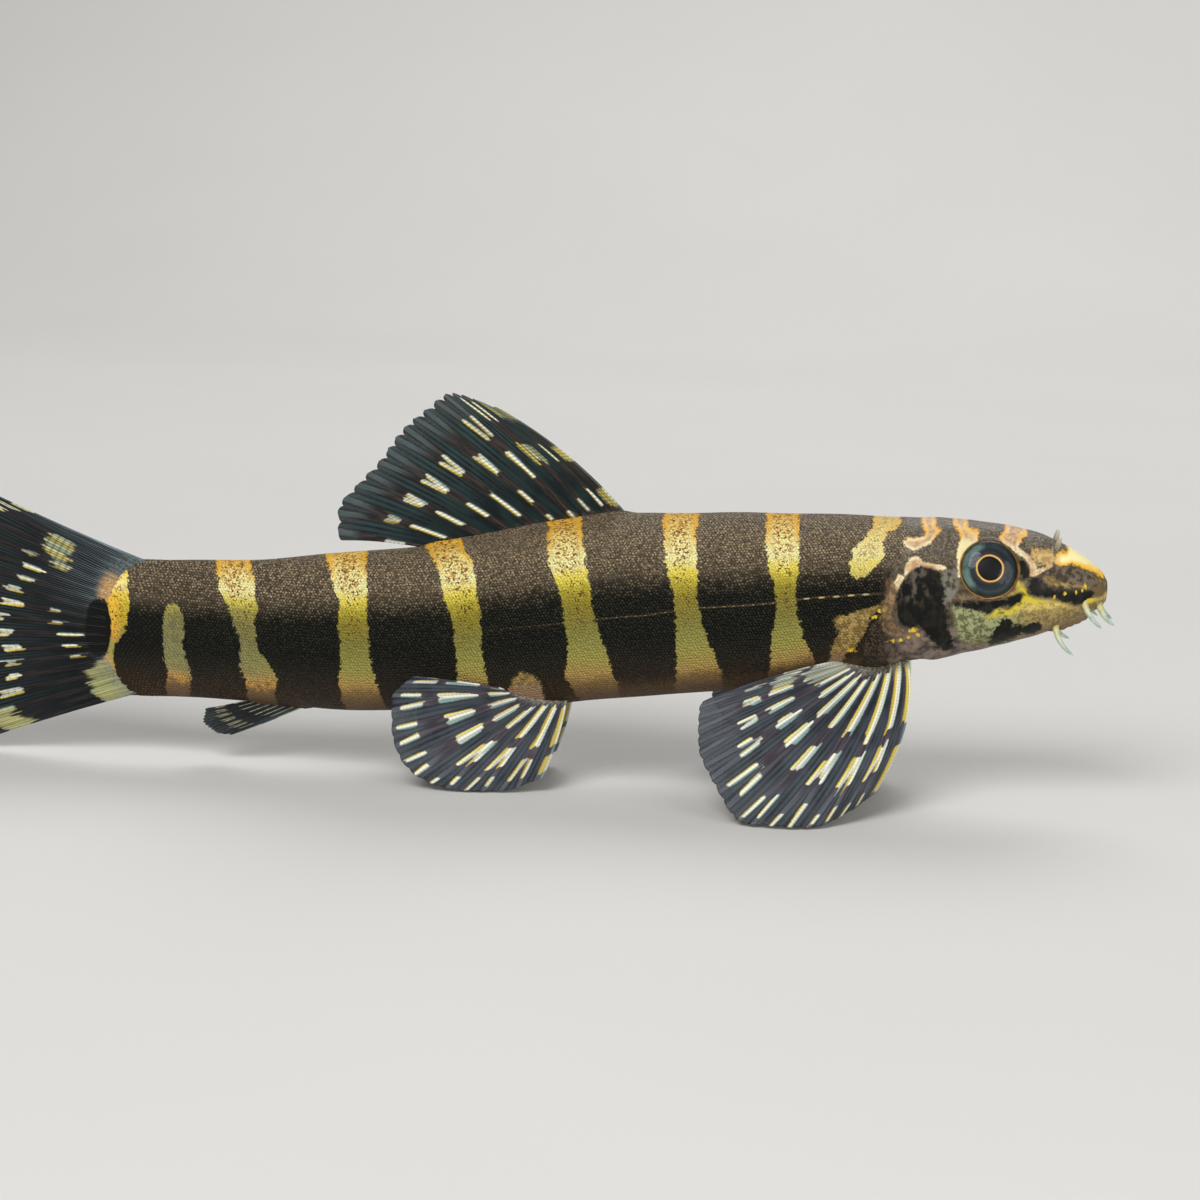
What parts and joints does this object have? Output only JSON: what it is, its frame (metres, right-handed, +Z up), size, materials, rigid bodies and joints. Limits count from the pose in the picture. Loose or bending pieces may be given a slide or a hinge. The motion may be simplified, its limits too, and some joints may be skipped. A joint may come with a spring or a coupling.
{
  "type": "serpent loach",
  "caption": "Still life-size model of a banded serpent loach resting on its paired fins and lower tail lobe.",
  "frame": {"origin": "middle of the base of the bounding box, on the floor the fish rests on", "axes": "+X towards the snout, +Y to the fish's left, +Z up"},
  "size_m": [0.0792, 0.0216, 0.0252],
  "materials": {
    "head": "moist skin, brown with cream and black stripes",
    "trunk": "moist finely scaled skin, brown-black with gold bars",
    "tail": "moist finely scaled skin, brown-black with gold bars",
    "eye": "wet black pupil in a dark iris with a thin gold ring",
    "barbel": "soft pale translucent skin",
    "middle_fins": "clear dusky membrane with pale and dark barred rays",
    "paired_fins": "clear membrane with yellow-white and dark barred rays"
  },
  "bodies": {
    "root": {"head": "head", "trunk": "trunk", "tail": "tail", "eye_left": "eye", "eye_right": "eye", "barbel_rostral_inner_left": "barbel", "barbel_rostral_inner_right": "barbel", "barbel_rostral_outer_left": "barbel", "barbel_rostral_outer_right": "barbel", "barbel_maxillary_left": "barbel", "barbel_maxillary_right": "barbel", "dorsal_fin": "middle_fins", "anal_fin": "middle_fins", "caudal_fin": "middle_fins", "pectoral_fin_left": "paired_fins", "pectoral_fin_right": "paired_fins", "pelvic_fin_left": "paired_fins", "pelvic_fin_right": "paired_fins"}
  },
  "joints": []
}
